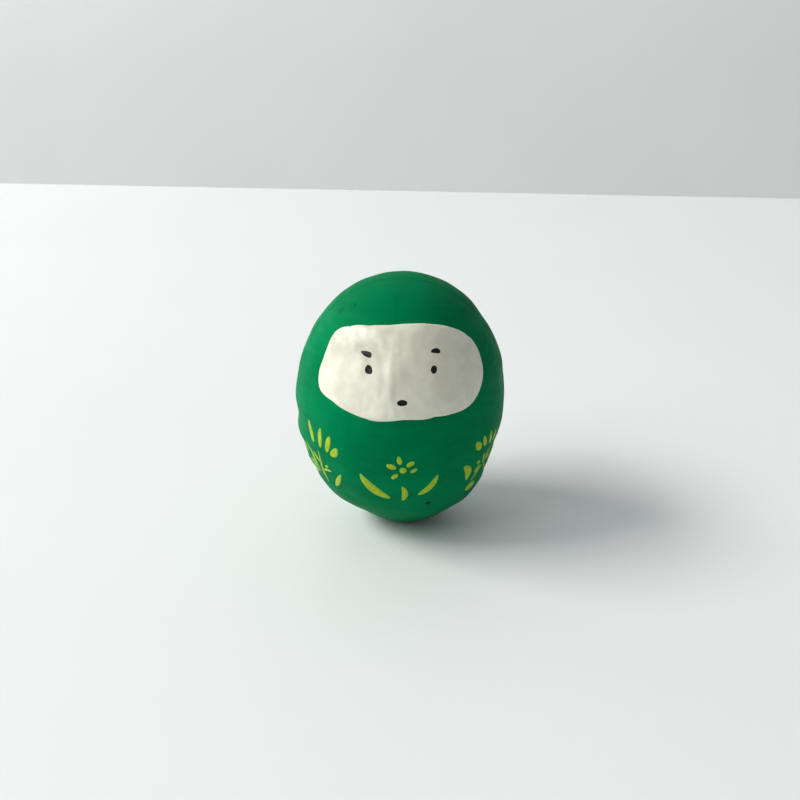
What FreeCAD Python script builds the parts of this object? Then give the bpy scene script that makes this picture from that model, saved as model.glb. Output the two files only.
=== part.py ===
"""Daruma doll, a round-bottomed papier-mache figure with a painted face.

Millimetres. +Z is up, the face looks along -Y, and the origin is the middle
of the foot's underside. The doll is a stack of layers on one egg-shaped
outline: two paper half shells, the paper strip over their joint, a chalk
ground coat, the coloured coats and the raised brush marks. Each layer is
the same egg moved inwards by the thicknesses that lie outside it.
"""
import FreeCAD, Part
import math
import os
import Sketcher

doc = FreeCAD.newDocument("daruma")
V = FreeCAD.Vector

# ---------------------------------------------------------------- sizes
SIZES = {
    # the egg-shaped outline
    "total_height": 81,
    "belly_diameter": 66,
    "belly_height": 42.2,
    "base_flat_diameter": 24,
    # the foot under it
    "foot_diameter": 15,
    "foot_height": 2.5,
    "foot_edge_radius": 0.4,
    # the layers, from the outside in
    "mark_thickness": 0.12,
    "paint_thickness": 0.15,
    "ground_thickness": 0.35,
    "strip_thickness": 0.15,
    "shell_thickness": 1.2,
    # the joint strip and the weight
    "strip_width": 8,
    "clay_depth": 9,
    "cover_thickness": 0.4,
    # the cream face, as seen from the front
    "face_top_width": 39,
    "face_bottom_width": 45.5,
    "face_top_arch": 3.4,
    "face_side_bulge": 2.8,
    "face_bottom_arch": 2.4,
    "face_corner_radius": 4,
    "face_top_margin": 12,
    "face_above_belly": 6.8,
    # the marks on the face; a slope turns a brow against the clock
    "eye_spread": 19,
    "eye_rise": 11.6,
    "eye_width": 2,
    "eye_length": 2.5,
    "brow_rise": 4.2,
    "brow_width": 1.7,
    "brow_length": 3.3,
    "left_brow_slope": -14,
    "right_brow_slope": -4,
    "mouth_rise": 2.8,
    "mouth_width": 2.8,
    "mouth_length": 1.7,
    # the painted plants: how far below the belly ring, and how far round
    "flower_drop": 12,
    "left_sprig_drop": 18.2,
    "left_sprig_turn": 55,
    "right_sprig_drop": 16.2,
    "right_sprig_turn": 57,
}

sheet = doc.addObject("Spreadsheet::Sheet", "Sizes")
for row, (alias, value) in enumerate(SIZES.items(), start=1):
    sheet.set("A%d" % row, alias)
    sheet.set("B%d" % row, str(value))
    sheet.setAlias("B%d" % row, alias)
doc.recompute()


def bound(expression):
    """An expression with each $name turned into that cell of the sheet."""
    return expression.replace("$", "Sizes.")


def bind(item, **expressions):
    """Tie properties to the sheet: a double underscore stands for a dot."""
    for name, expression in expressions.items():
        item.setExpression(name.replace("__", "."), bound(expression))
    return item


def combine(kind, label, base, tool):
    """A boolean of two objects: Part::Cut, Part::Common or Part::Fuse."""
    item = doc.addObject(kind, label)
    item.Base = base
    item.Tool = tool
    return item


# ---------------------------------------------------------------- the egg
BELLY_RADIUS = "$belly_diameter / 2"
COATS = "($paint_thickness + $ground_thickness)"
BOWL_DEPTH = ("($belly_height - $foot_height)"
              " / sqrt(1 - ($base_flat_diameter / $belly_diameter) ^ 2)")


def origin_plane(body, role):
    """One of a body's own origin planes, such as XY_Plane."""
    return next(f for f in body.Origin.OriginFeatures if f.Role == role)


def sketch_on(body, role, name):
    sketch = body.newObject("Sketcher::SketchObject", name)
    sketch.AttachmentSupport = [(origin_plane(body, role), "")]
    sketch.MapMode = "FlatFace"
    return sketch


def hold(sketch, name, expression, *details):
    """A dimension of a sketch, named and bound to the sheet."""
    value = float(sketch.evalExpression(bound(expression)))
    index = sketch.addConstraint(Sketcher.Constraint(*details, value))
    sketch.renameConstraint(index, name)
    sketch.setExpression("Constraints." + name, bound(expression))


def upright_arc(sketch, centre, wide, pole, start, end):
    """An arc of an ellipse whose axes are level and upright.

    wide is its level half axis and pole its top or bottom point. An ellipse
    is made from its long axis, whichever of the two that is, and the sketch
    then adds its long and its short axis as lines, in that order.
    """
    tall = abs(pole.y - centre.y)
    if tall > wide:
        sideways = V(wide if pole.y < centre.y else -wide, 0, 0)
        ellipse = Part.Ellipse(pole, centre + sideways, centre)
    else:
        ellipse = Part.Ellipse(centre + V(wide, 0, 0),
                               centre + V(0, tall, 0), centre)
    arc = Part.ArcOfEllipse(ellipse, ellipse.parameter(start),
                            ellipse.parameter(end))
    index = sketch.addGeometry(arc)
    sketch.exposeInternalGeometry(index)
    upright_axis = index + 1 if tall > wide else index + 2
    sketch.addConstraint(Sketcher.Constraint("Vertical", upright_axis))
    return index, upright_axis


def egg(label, inset):
    """The doll's outline as a solid: a crown over a bowl with a flat base."""
    body = doc.addObject("PartDesign::Body", label)
    sketch = sketch_on(body, "XZ_Plane", label + "_profile")

    def size(expression):
        return float(sketch.evalExpression(bound(expression)))

    radius = BELLY_RADIUS + " - (%s)" % inset
    top = "$total_height - (%s)" % inset
    floor = "$foot_height + (%s)" % inset
    bowl_depth = BOWL_DEPTH + " - (%s)" % inset
    centre = V(0, size("$belly_height"), 0)
    belly = V(size(radius), centre.y, 0)
    summit = V(0, size(top), 0)
    base_drop = (centre.y - size(floor)) / size(bowl_depth)
    base_edge = V(belly.x * math.sqrt(1 - base_drop ** 2), size(floor), 0)
    bottom = centre - V(0, size(bowl_depth), 0)

    crown, _ = upright_arc(sketch, centre, belly.x, summit, belly, summit)
    bowl, bowl_axis = upright_arc(sketch, centre, belly.x, bottom,
                                  base_edge, belly)
    base = sketch.addGeometry(Part.LineSegment(V(0, base_edge.y, 0), base_edge))
    spine = sketch.addGeometry(Part.LineSegment(summit, V(0, base_edge.y, 0)))
    for details in (("PointOnObject", crown, 3, -2),
                    ("Coincident", crown, 3, bowl, 3),
                    ("Horizontal", crown, 3, crown, 1),
                    ("Coincident", crown, 1, bowl, 2),
                    ("PointOnObject", crown, 2, -2),
                    ("Coincident", crown, 2, spine, 1),
                    ("Coincident", spine, 2, base, 1),
                    ("Coincident", base, 2, bowl, 1),
                    ("PointOnObject", base, 1, -2),
                    ("Horizontal", base)):
        sketch.addConstraint(Sketcher.Constraint(*details))
    hold(sketch, "belly_level", "$belly_height", "DistanceY", -1, 1, crown, 3)
    hold(sketch, "belly_radius", radius, "DistanceX", -1, 1, crown, 1)
    hold(sketch, "summit_level", top, "DistanceY", -1, 1, crown, 2)
    hold(sketch, "floor_level", floor, "DistanceY", -1, 1, base, 1)
    hold(sketch, "bowl_length", "2 * (%s)" % bowl_depth, "Distance", bowl_axis)

    turned = body.newObject("PartDesign::Revolution", label + "_turned")
    turned.Profile = sketch
    turned.ReferenceAxis = (sketch, ["V_Axis"])
    turned.Angle = 360
    return body


mark_outside = egg("mark_outside", "-$mark_thickness")
coat_outside = egg("coat_outside", "0")
ground_outside = egg("ground_outside", "$paint_thickness")
strip_outside = egg("strip_outside", COATS + " - $strip_thickness")
shell_outside = egg("shell_outside", COATS)
shell_inside = egg("shell_inside", COATS + " + $shell_thickness")


# ---------------------------------------------------------------- shells
def half_space(label, near, depth):
    """A box that holds the part of the doll from y = near to near + depth."""
    box = doc.addObject("Part::Box", label)
    bind(box, Length="2 * $belly_diameter", Width=depth,
         Height="2 * $total_height", Placement__Base__x="-$belly_diameter",
         Placement__Base__y=near, Placement__Base__z="-$total_height / 2")
    return box


paper_body = combine("Part::Cut", "paper_body", shell_outside, shell_inside)
front_half = half_space("front_half", "-$belly_diameter", "$belly_diameter")
back_half = half_space("back_half", "0", "$belly_diameter")
front_shell = combine("Part::Common", "front_shell", paper_body, front_half)
back_shell = combine("Part::Common", "back_shell", paper_body, back_half)

strip_band = half_space("strip_band", "-$strip_width / 2", "$strip_width")
strip_hoop = combine("Part::Common", "strip_hoop", strip_outside, strip_band)
joint_strip = combine("Part::Cut", "joint_strip", strip_hoop, shell_outside)


# ---------------------------------------------------------------- weight
def slab(label, bottom, depth):
    """A round block across the doll's inside, from height bottom."""
    block = doc.addObject("Part::Cylinder", label)
    return bind(block, Radius="$belly_diameter", Height=depth,
                Placement__Base__z=bottom)


INSIDE_FLOOR = "$foot_height + %s + $shell_thickness" % COATS
clay_block = slab("clay_block", "0", INSIDE_FLOOR + " + $clay_depth")
cover_block = slab("cover_block", INSIDE_FLOOR + " + $clay_depth",
                   "$cover_thickness")
clay_weight = combine("Part::Common", "clay_weight", shell_inside, clay_block)
weight_cover = combine("Part::Common", "weight_cover", shell_inside,
                       cover_block)

# ---------------------------------------------------------------- foot
base_disc = doc.addObject("PartDesign::Body", "base_disc")

foot_sketch = sketch_on(base_disc, "XY_Plane", "foot_sketch")
foot_sketch.addGeometry(
    Part.Circle(V(0, 0, 0), V(0, 0, 1), SIZES["foot_diameter"] / 2))
foot_sketch.addConstraint(Sketcher.Constraint("Coincident", 0, 3, -1, 1))
foot_sketch.addConstraint(
    Sketcher.Constraint("Diameter", 0, SIZES["foot_diameter"]))
foot_sketch.renameConstraint(1, "foot_diameter")
bind(foot_sketch, Constraints__foot_diameter="$foot_diameter")
foot_pad = base_disc.newObject("PartDesign::Pad", "foot_pad")
foot_pad.Profile = foot_sketch
bind(foot_pad, Length="$foot_height")
doc.recompute()

FOOT_EDGE = min(range(len(foot_pad.Shape.Edges)),
                key=lambda i: foot_pad.Shape.Edges[i].BoundBox.ZMax)
foot_round = base_disc.newObject("PartDesign::Fillet", "foot_round")
foot_round.Base = (foot_pad, ["Edge%d" % (FOOT_EDGE + 1)])
bind(foot_round, Radius="min($foot_edge_radius; $foot_height / 2)")

# ---------------------------------------------------------------- face
face_window = doc.addObject("PartDesign::Body", "face_window")
face_sketch = sketch_on(face_window, "XZ_Plane", "face_sketch")


def face_corners():
    """Start points of the outline; the constraints hold the true ones."""
    top = SIZES["total_height"] - SIZES["face_top_margin"]
    bottom = SIZES["belly_height"] + SIZES["face_above_belly"]
    high = SIZES["face_top_width"] / 2
    low = SIZES["face_bottom_width"] / 2
    return [V(-high, top, 0), V(high, top, 0), V(low, bottom, 0),
            V(-low, bottom, 0)]


def face_arcs():
    """Top, right, bottom and left arcs, each bulging outwards."""
    corners = face_corners()
    bulges = [SIZES["face_top_arch"], SIZES["face_side_bulge"],
              SIZES["face_bottom_arch"], SIZES["face_side_bulge"]]
    arcs = []
    for index, bulge in enumerate(bulges):
        start, end = corners[index], corners[(index + 1) % 4]
        chord = end - start
        outwards = V(-chord.y, chord.x, 0).normalize()
        arcs.append(Part.Arc(start, (start + end) / 2 + outwards * bulge, end))
    return arcs


# Each arc runs against the clock once it is stored, so its stored start is
# the next corner: point 2 is the corner it began at, point 1 the one after.
START, END = 2, 1
TOP, RIGHT, BOTTOM, LEFT = range(4)
face_sketch.addGeometry(face_arcs(), False)
for arc in range(4):
    face_sketch.addConstraint(
        Sketcher.Constraint("Coincident", arc, END, (arc + 1) % 4, START))
for arc in (TOP, BOTTOM):
    face_sketch.addConstraint(
        Sketcher.Constraint("Symmetric", arc, 1, arc, 2, -2))


FACE_TOP = "($total_height - $face_top_margin)"
FACE_BOTTOM = "($belly_height + $face_above_belly)"
SIDE_CHORD_SQUARED = ("((%s - %s) ^ 2 + (($face_bottom_width"
                      " - $face_top_width) / 2) ^ 2)" % (FACE_TOP, FACE_BOTTOM))


def arc_radius(chord_squared, bulge):
    """Radius of the arc that stands off its chord by bulge."""
    return "(%s / 4 + %s ^ 2) / (2 * %s)" % (chord_squared, bulge, bulge)


hold(face_sketch, "top_width", "$face_top_width",
     "DistanceX", TOP, START, TOP, END)
hold(face_sketch, "bottom_width", "$face_bottom_width",
     "DistanceX", BOTTOM, END, BOTTOM, START)
hold(face_sketch, "top_level", FACE_TOP, "DistanceY", -1, 1, TOP, START)
hold(face_sketch, "bottom_level", FACE_BOTTOM,
     "DistanceY", -1, 1, BOTTOM, START)
hold(face_sketch, "top_radius",
     arc_radius("$face_top_width ^ 2", "$face_top_arch"), "Radius", TOP)
hold(face_sketch, "bottom_radius",
     arc_radius("$face_bottom_width ^ 2", "$face_bottom_arch"),
     "Radius", BOTTOM)
for side, name in ((RIGHT, "right_radius"), (LEFT, "left_radius")):
    hold(face_sketch, name, arc_radius(SIDE_CHORD_SQUARED,
                                       "$face_side_bulge"), "Radius", side)

face_pad = face_window.newObject("PartDesign::Pad", "face_pad")
face_pad.Profile = face_sketch
bind(face_pad, Length="$belly_diameter")
doc.recompute()
corner_edges = ["Edge%d" % (i + 1) for i, edge in enumerate(face_pad.Shape.Edges)
                if edge.BoundBox.YLength > SIZES["belly_diameter"] / 2]
face_round = face_window.newObject("PartDesign::Fillet", "face_round")
face_round.Base = (face_pad, corner_edges)
bind(face_round, Radius="$face_corner_radius")

# ---------------------------------------------------------------- coats
taped_body = combine("Part::Fuse", "taped_body", shell_outside, strip_hoop)
ground_coat = combine("Part::Cut", "ground_coat", ground_outside, taped_body)
coat_layer = combine("Part::Cut", "coat_layer", coat_outside, ground_outside)
green_coat = combine("Part::Cut", "green_coat", coat_layer, face_window)
face_coat = combine("Part::Common", "face_coat", coat_layer, face_window)
mark_layer = combine("Part::Cut", "mark_layer", mark_outside, coat_outside)


# ---------------------------------------------------------------- face marks
def face_dab(label, across, up, width, length, slope):
    """An oval dab of black on the face."""
    dab = doc.addObject("Part::Ellipsoid", label + "_oval")
    dab.Angle1 = -90
    bind(dab, Radius1="%s / 2" % length, Radius2="%s / 2" % width,
         Radius3=BELLY_RADIUS, Placement__Base__x=across,
         Placement__Base__y="-" + BELLY_RADIUS,
         Placement__Base__z="$belly_height + " + up,
         Placement__Rotation__Angle=slope)
    dab.Placement.Rotation.Axis = V(0, -1, 0)
    return combine("Part::Common", label, mark_layer, dab)


face_marks = []
for side, sign in (("left", "-"), ("right", "")):
    middle = sign + "$eye_spread / 2"
    face_marks.append(face_dab(
        side + "_eye", middle, "$eye_rise + $face_above_belly", "$eye_width",
        "$eye_length", "0"))
    face_marks.append(face_dab(
        side + "_brow", middle, "$eye_rise + $brow_rise + $face_above_belly",
        "$brow_length", "$brow_width", "$%s_brow_slope" % side))
face_marks.append(face_dab(
    "mouth", "0", "$mouth_rise + $face_above_belly", "$mouth_width",
    "$mouth_length", "0"))

# ---------------------------------------------------------------- plants
# Each brush stroke, as seen looking straight at its plant's middle: how far
# across and up its own middle lies, its length, its greatest width, its lean
# from upright (positive to the right at the top) and how far its middle
# bows to the right of a straight line.
FLOWER = [
    (0.7, 0.0, 2.2, 1.9, 80, 0),
    (-0.4, 3.5, 2.8, 1.5, -10, 0),
    (-2.8, 1.3, 3.2, 1.6, -70, 0),
    (2.9, 2.2, 2.8, 1.4, 57, 0),
    (3.9, -0.2, 2.3, 1.0, 62, 0),
    (-1.8, -2.3, 2.5, 1.3, 50, 0),
]
BELLY_LEAVES = [
    (-7.7, -6.8, 12.8, 2.4, -46, -1.6),
    (8.2, -6.5, 9.5, 1.9, 39, 1.0),
    (0.5, -9.2, 6.2, 1.8, -2, 0.8),
]
LEFT_LEAVES = [
    (-0.9, 13.1, 7.2, 1.9, -17, -0.4), (4.0, 12.4, 7.0, 2.0, 9, -0.3),
    (7.3, 11.3, 6.3, 2.0, 21, -0.2), (9.2, 9.2, 4.3, 2.3, 43, 0.3),
    (6.6, -2.0, 8.4, 1.5, 41, 0.2), (-9.8, 4.4, 5.2, 1.5, -56, 0),
    (-9.4, -2.4, 7.0, 1.5, -40, -0.2),
]
LEFT_NEEDLES = [
    (1.2, 1.2, 13.0, 1.0, 7, -0.3), (-3.0, 3.2, 10.6, 0.9, -16, 0),
    (-0.9, 4.2, 3.9, 0.8, -50, 0), (3.3, 0.5, 3.8, 0.8, 80, -0.2),
    (3.7, 2.2, 1.7, 0.7, 72, 0), (-4.4, 0.6, 4.4, 0.8, -72, 0.2),
    (-4.6, -1.6, 3.6, 0.8, -60, 0),
]
RIGHT_LEAVES = [
    (-5.3, 7.7, 4.2, 2.3, -42, 0), (-2.4, 8.4, 4.4, 1.7, -28, 0),
    (1.0, 8.5, 4.8, 1.5, -10, 0), (4.3, 7.9, 3.6, 1.3, 22, 0),
    (9.6, 4.6, 4.0, 1.7, 46, 0), (-7.9, -1.2, 7.2, 2.4, -30, 1),
    (10.4, -1.4, 7.0, 2.4, 30, -1), (-2.1, -8.3, 4.6, 2.6, 78, 0),
]
RIGHT_NEEDLES = [
    (0.3, 1.3, 4.2, 1.0, -15, 0), (-1.55, -3.3, 6.2, 0.8, 42, 0),
    (-2.6, 0.9, 2.4, 0.9, -74, 0), (-2.2, -1.6, 2.9, 1.3, 42, 0),
    (3.6, -3.2, 5.6, 0.8, -38, 0), (3.2, 0.6, 3.0, 0.8, 78, 0),
    (2.4, 2.4, 3.6, 0.8, 40, 0),
]


def brush_edge(start, end, along_normal, offset):
    """One side of a stroke: an arc whose middle stands off by offset."""
    if abs(offset) < 1e-6:
        return Part.makeLine(start, end)
    middle = (start + end) / 2 + along_normal * offset
    return Part.Arc(start, middle, end).toShape()


def stroke_prism(stroke, reach):
    """A pointed leaf outline on the XZ plane, drawn out along -Y."""
    across, up, length, width, lean, bow = stroke
    angle = math.radians(lean)
    along = V(math.sin(angle), 0, math.cos(angle))
    right = V(math.cos(angle), 0, -math.sin(angle))
    middle = V(across, 0, up)
    tip, tail = middle + along * (length / 2), middle - along * (length / 2)
    outline = Part.Wire([brush_edge(tail, tip, right, bow + width / 2),
                         brush_edge(tip, tail, right, bow - width / 2)])
    return Part.Face(outline).extrude(V(0, -reach, 0))


def plant(label, strokes, drop, turn):
    """A group of strokes on the belly, turned round to where it belongs."""
    reach = sheet.get("belly_diameter")
    prisms = [stroke_prism(stroke, reach) for stroke in strokes]
    outline = doc.addObject("Part::Feature", label + "_outline")
    outline.Shape = prisms[0].multiFuse(prisms[1:])
    outline.Placement = FreeCAD.Placement(
        V(0, 0, 0), FreeCAD.Rotation(V(0, 0, 1), 0))
    bind(outline, Placement__Base__z="$belly_height - " + drop,
         Placement__Rotation__Angle=turn)
    return combine("Part::Common", label, mark_layer, outline)


plants = [
    plant("flower", FLOWER, "$flower_drop", "0"),
    plant("belly_leaves", BELLY_LEAVES, "$flower_drop", "0"),
    plant("left_leaves", LEFT_LEAVES, "$left_sprig_drop",
          "-$left_sprig_turn"),
    plant("left_needles", LEFT_NEEDLES, "$left_sprig_drop",
          "-$left_sprig_turn"),
    plant("right_leaves", RIGHT_LEAVES, "$right_sprig_drop",
          "$right_sprig_turn"),
    plant("right_needles", RIGHT_NEEDLES, "$right_sprig_drop",
          "$right_sprig_turn"),
]

# ---------------------------------------------------------------- output
NODES = [front_shell, back_shell, joint_strip, clay_weight, weight_cover,
         base_disc, ground_coat, green_coat, face_coat] + face_marks + plants

doc.recompute()
for item in doc.Objects:
    if {"Invalid", "Error"} & set(item.State):
        raise RuntimeError("%s failed: %s" % (item.Label, item.State))
for node in NODES:
    shape = node.Shape
    if shape.isNull() or not shape.isValid() or not shape.Solids:
        raise RuntimeError("%s has no sound shape" % node.Label)
    print("%-14s %2d solids %10.2f mm3" % (
        node.Label, len(shape.Solids), shape.Volume))

os.makedirs("parts", exist_ok=True)
for node in NODES:
    node.Shape.exportStep(os.path.join("parts", node.Label + ".step"))
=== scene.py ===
# %% [markdown]
# # A papier-mache daruma, painted green
# The real object is an egg of pasted paper, 81 mm tall, with clay in its
# bottom so that it rights itself. It was whitened with chalk and glue, painted
# green around a cream face, and finished with quick brush marks. The CAD model
# holds the sizes. This script adds what hands did to it: lumps of paper, brush
# streaks, raised dabs of paint.

# %% Load the CAD frame
import math

import bmesh
import bpy
from mathutils import Matrix, Vector, noise
from mathutils.bvhtree import BVHTree


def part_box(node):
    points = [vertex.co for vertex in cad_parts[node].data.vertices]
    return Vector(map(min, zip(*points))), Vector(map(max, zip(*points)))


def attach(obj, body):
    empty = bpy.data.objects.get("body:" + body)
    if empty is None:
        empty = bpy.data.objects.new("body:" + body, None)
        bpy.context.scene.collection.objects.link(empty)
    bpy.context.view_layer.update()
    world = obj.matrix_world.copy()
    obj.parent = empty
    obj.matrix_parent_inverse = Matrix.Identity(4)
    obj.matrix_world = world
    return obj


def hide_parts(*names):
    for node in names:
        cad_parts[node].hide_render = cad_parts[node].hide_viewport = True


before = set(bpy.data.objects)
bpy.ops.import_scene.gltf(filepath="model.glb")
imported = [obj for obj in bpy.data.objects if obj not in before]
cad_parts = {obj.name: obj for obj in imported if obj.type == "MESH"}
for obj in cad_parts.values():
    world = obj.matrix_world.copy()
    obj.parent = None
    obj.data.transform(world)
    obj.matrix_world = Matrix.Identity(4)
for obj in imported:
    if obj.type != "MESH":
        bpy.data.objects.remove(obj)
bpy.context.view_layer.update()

print("CAD nodes:", len(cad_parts))

# %% [markdown]
# ## The egg's own sizes
# All the painted layers follow one egg: a bowl and a crown that meet in the
# widest ring. The width, the top and the bottom are read from the CAD nodes,
# so a change of theirs carries over. The height of the widest ring and the
# radius of the flat bottom don't show in a node's box, so they are written
# here. Lengths are millimetres until a mesh is finished, because a hand-made
# thing is easier to think about in millimetres than in metres.

# %% Read the egg's sizes
MM = 0.001
coat_low, coat_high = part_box("green_coat")
foot_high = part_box("base_disc")[1]
BELLY = coat_high.x / MM
TOP = coat_high.z / MM
BOTTOM = coat_low.z / MM
BELLY_HEIGHT = 42.2
FLAT = 12.0
CROWN = TOP - BELLY_HEIGHT
BOWL = (BELLY_HEIGHT - BOTTOM) / math.sqrt(1 - (FLAT / BELLY) ** 2)
print(f"egg {2 * BELLY:.1f} mm across, from {BOTTOM:.1f} to {TOP:.1f} mm")

# %% [markdown]
# ## The lumps that pasted paper leaves
# Strips of damp paper laid on a mould never dry into a true egg. The sides are
# straight in places and swell in others, and the bottom leans a little to one
# side. A sculpting brush could do this by eye. A function does it here,
# because every layer, from the paper to the last dab of paint, has to follow
# the same lumps.

# %% Describe the two sides by how far they stand out
LEFT_SIDE = [
    (82, 0.1), (75, 0.15), (67, -0.15), (60, -0.3), (50, -0.25), (43, 0.1),
    (37, -0.2), (32, 0.7), (29, 0.0), (24, 0.15), (20, -0.3), (17, 0.5),
    (13, 0.7), (9, 0.5), (5, 0.2), (0, 0.2),
]
RIGHT_SIDE = [
    (82, 0.3), (77, 0.3), (72, 0.55), (67, 0.1), (61, 0.4), (55, 0.3),
    (50, -0.1), (40, -0.2), (35, -0.25), (29, -0.9), (24, -0.6), (20, -0.2),
    (16, 0.5), (11, 0.4), (7, 0.2), (0, 0.0),
]


def smooth(low, high, value):
    """0 below low, 1 above high, and an eased step between them."""
    t = min(max((value - low) / (high - low), 0.0), 1.0)
    return t * t * (3 - 2 * t)


def side_line(points, height):
    """The standing-out of one side at a height, eased between its points."""
    for (above, a), (below, b) in zip(points, points[1:]):
        if height >= below:
            return b + (a - b) * smooth(below, above, height)
    return points[-1][1]


def facing(azimuth, middle, spread):
    """1 where the azimuth is the middle, easing to 0 a spread away."""
    away = abs((azimuth - middle + 180) % 360 - 180)
    return 1 - smooth(0, spread, away)


# %% Add the paper's own lumps, creases and the pasted strip
LUMP, DENT, CREASE = 17.0, 7.5, 3.2
LUMP_RISE, DENT_RISE, CREASE_RISE = 0.26, 0.20, 0.05
SIDE_AZIMUTH, SIDE_SPREAD, POLE = 85, 62, 7
RIDGE_X, RIDGE_WIDTH, RIDGE_RISE = -2.6, 4.0, 0.65
BROW_Z, BROW_WIDTH, BROW_RISE = 71, 6, 0.85
STRIP_HALF, STRIP_RISE, STRIP_RAGGED = 4.0, 0.18, 0.9
CROWN_RISE, HEEL_SINK = 0.35, 0.6
CHIP_AT, CHIP_DEPTH, CHIP_WIDTH = Vector((8.5, -24.1, 15.3)), 0.45, 0.9
PIT_AT, PIT_DEPTH, PIT_WIDTH = Vector((-13.1, -12.2, 74.8)), 0.30, 0.7
SMUDGE_AT = Vector((-17.6, -10.0, 72.5))


def paper_lumps(point):
    """Broad lumps, smaller dents and fine upright creases, in mm."""
    out = LUMP_RISE * noise.noise(point / LUMP + Vector((3.1, 0.4, 7.7)))
    out += DENT_RISE * noise.noise(point / DENT + Vector((8.2, 5.1, 1.3)))
    folded = Vector((point.x, point.y, point.z * 0.45)) / CREASE
    return out + CREASE_RISE * noise.noise(folded + Vector((0.7, 9.2, 4.4)))


def side_swell(point, azimuth):
    """The standing-out of the two sides, in mm."""
    left = facing(azimuth, -SIDE_AZIMUTH, SIDE_SPREAD)
    right = facing(azimuth, SIDE_AZIMUTH, SIDE_SPREAD)
    out = side_line(LEFT_SIDE, point.z) * left
    return out + side_line(RIGHT_SIDE, point.z) * right


def front_form(point, azimuth, off_axis):
    """The ridge down the face and the fuller brow over it, in mm."""
    if point.y >= 0:
        return 0.0
    beside = math.hypot(point.x - RIDGE_X, 0.7)
    upright = smooth(40, 50, point.z) * (1 - smooth(62, 71, point.z))
    ridge = RIDGE_RISE * math.exp(-beside / RIDGE_WIDTH) * upright
    brow = math.exp(-(((point.z - BROW_Z) / BROW_WIDTH) ** 2))
    return ridge + BROW_RISE * brow * facing(azimuth, 0, 85) * off_axis


def relief(point, azimuth):
    """How far the painted skin stands out of the true egg, in mm."""
    off_axis = smooth(0, POLE, math.hypot(point.x, point.y))
    out = side_swell(point, azimuth) * off_axis + paper_lumps(point)
    out += front_form(point, azimuth, off_axis)
    ragged = abs(point.y) + STRIP_RAGGED * noise.noise(point / 6)
    strip = 1 - smooth(STRIP_HALF - 0.8, STRIP_HALF + 1.0, ragged)
    out += STRIP_RISE * strip * smooth(12, 30, point.z)
    out += CROWN_RISE * smooth(70, 78, point.z)
    out -= HEEL_SINK * (1 - smooth(4, 11, point.z))
    out -= CHIP_DEPTH * math.exp(-((point - CHIP_AT).length / CHIP_WIDTH) ** 2)
    out -= PIT_DEPTH * math.exp(-((point - PIT_AT).length / PIT_WIDTH) ** 2)
    return out


FOOT_SHIFT = 1.5


def lean(height):
    """The bottom sits a little to the right of the belly, in mm."""
    return FOOT_SHIFT * (1 - smooth(2.5, 20, height))


print("lean at the foot:", lean(0), "mm")

# %% [markdown]
# ## One skin for all the layers
# A UV sphere is the easy start for an egg, because its rings and poles are
# already closed. Each of its vertices moves to the egg, then out or in by the
# lumps, and by the depth of the layer under the paint. Everything that is
# painted on the egg is later laid on this surface.

# %% Move a unit sphere's vertices to the skin
def on_skin(direction, depth=0.0):
    """The skin's point for a point of the unit sphere, in mm."""
    radius = math.hypot(direction.x, direction.y)
    if direction.z >= 0:
        height = BELLY_HEIGHT + CROWN * direction.z
        bend = CROWN
    else:
        height = max(BELLY_HEIGHT + BOWL * direction.z, BOTTOM)
        bend = BOWL
    point = Vector((BELLY * direction.x, BELLY * direction.y, height))
    out = Vector((direction.x / BELLY, direction.y / BELLY, direction.z / bend))
    out.normalize()
    if height <= BOTTOM:
        out = Vector((0, 0, -1))
        lifted = 0.0
    else:
        azimuth = math.degrees(math.atan2(point.x, -point.y)) if radius else 0
        edge = smooth(BOTTOM, BOTTOM + 4, height)
        lifted = relief(point, azimuth) * edge
    point += out * (lifted - depth)
    point.x += lean(height)
    return point


def skin_shell(bm, around, up, depth):
    """Adds one closed skin at a depth under the paint to a bmesh."""
    made = bmesh.ops.create_uvsphere(
        bm, u_segments=around, v_segments=up, radius=1.0
    )
    for vertex in made["verts"]:
        vertex.co = on_skin(vertex.co.normalized(), depth)
    return made["verts"]


# %% A helper that finishes a piece
def finish_piece(bm, name, *replaced, slot, merge=0.002):
    """Makes a bmesh in mm an object in metres that rides with the doll."""
    if merge:
        bmesh.ops.remove_doubles(bm, verts=bm.verts, dist=merge)
    bmesh.ops.scale(bm, vec=(MM, MM, MM), verts=bm.verts)
    for face in bm.faces:
        face.smooth = True
    mesh = bpy.data.meshes.new(name)
    bm.to_mesh(mesh)
    bm.free()
    piece = bpy.data.objects.new(name, mesh)
    bpy.context.scene.collection.objects.link(piece)
    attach(piece, "root")
    if replaced:
        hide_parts(*replaced)
    print(name, len(mesh.polygons), "faces")
    return piece


# %% [markdown]
# ## The painted body
# The ground of chalk and glue and the green coat over it are one skin half a
# millimetre thick. It is made as two nested eggs, so that it is a real wall
# with an inside. Only the outer one is fine enough to carry the lumps.

# %% Build the painted body
PAINT_DEPTH = 0.5
FINE, COARSE = (384, 240), (96, 60)
body_mesh = bmesh.new()
skin_shell(body_mesh, *FINE, 0.0)
skin_tree = BVHTree.FromBMesh(body_mesh)
inner = skin_shell(body_mesh, *COARSE, PAINT_DEPTH)
inner_faces = list({face for vertex in inner for face in vertex.link_faces})
bmesh.ops.reverse_faces(body_mesh, faces=inner_faces)
painted_body = finish_piece(
    body_mesh, "painted_body", "green_coat", "ground_coat",
    slot="green_paint", merge=0,
)

# %% [markdown]
# ## The face
# The cream face is a patch of thicker paint with a hand-drawn edge, wider
# below than above. It could be a colour on the green mesh, but a real coat
# has an edge that catches the light, so it is a piece of its own. A spun line
# gives a disc of rings, the rings are stretched to the drawn outline, and
# every vertex is dropped on the skin from the front.

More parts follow.
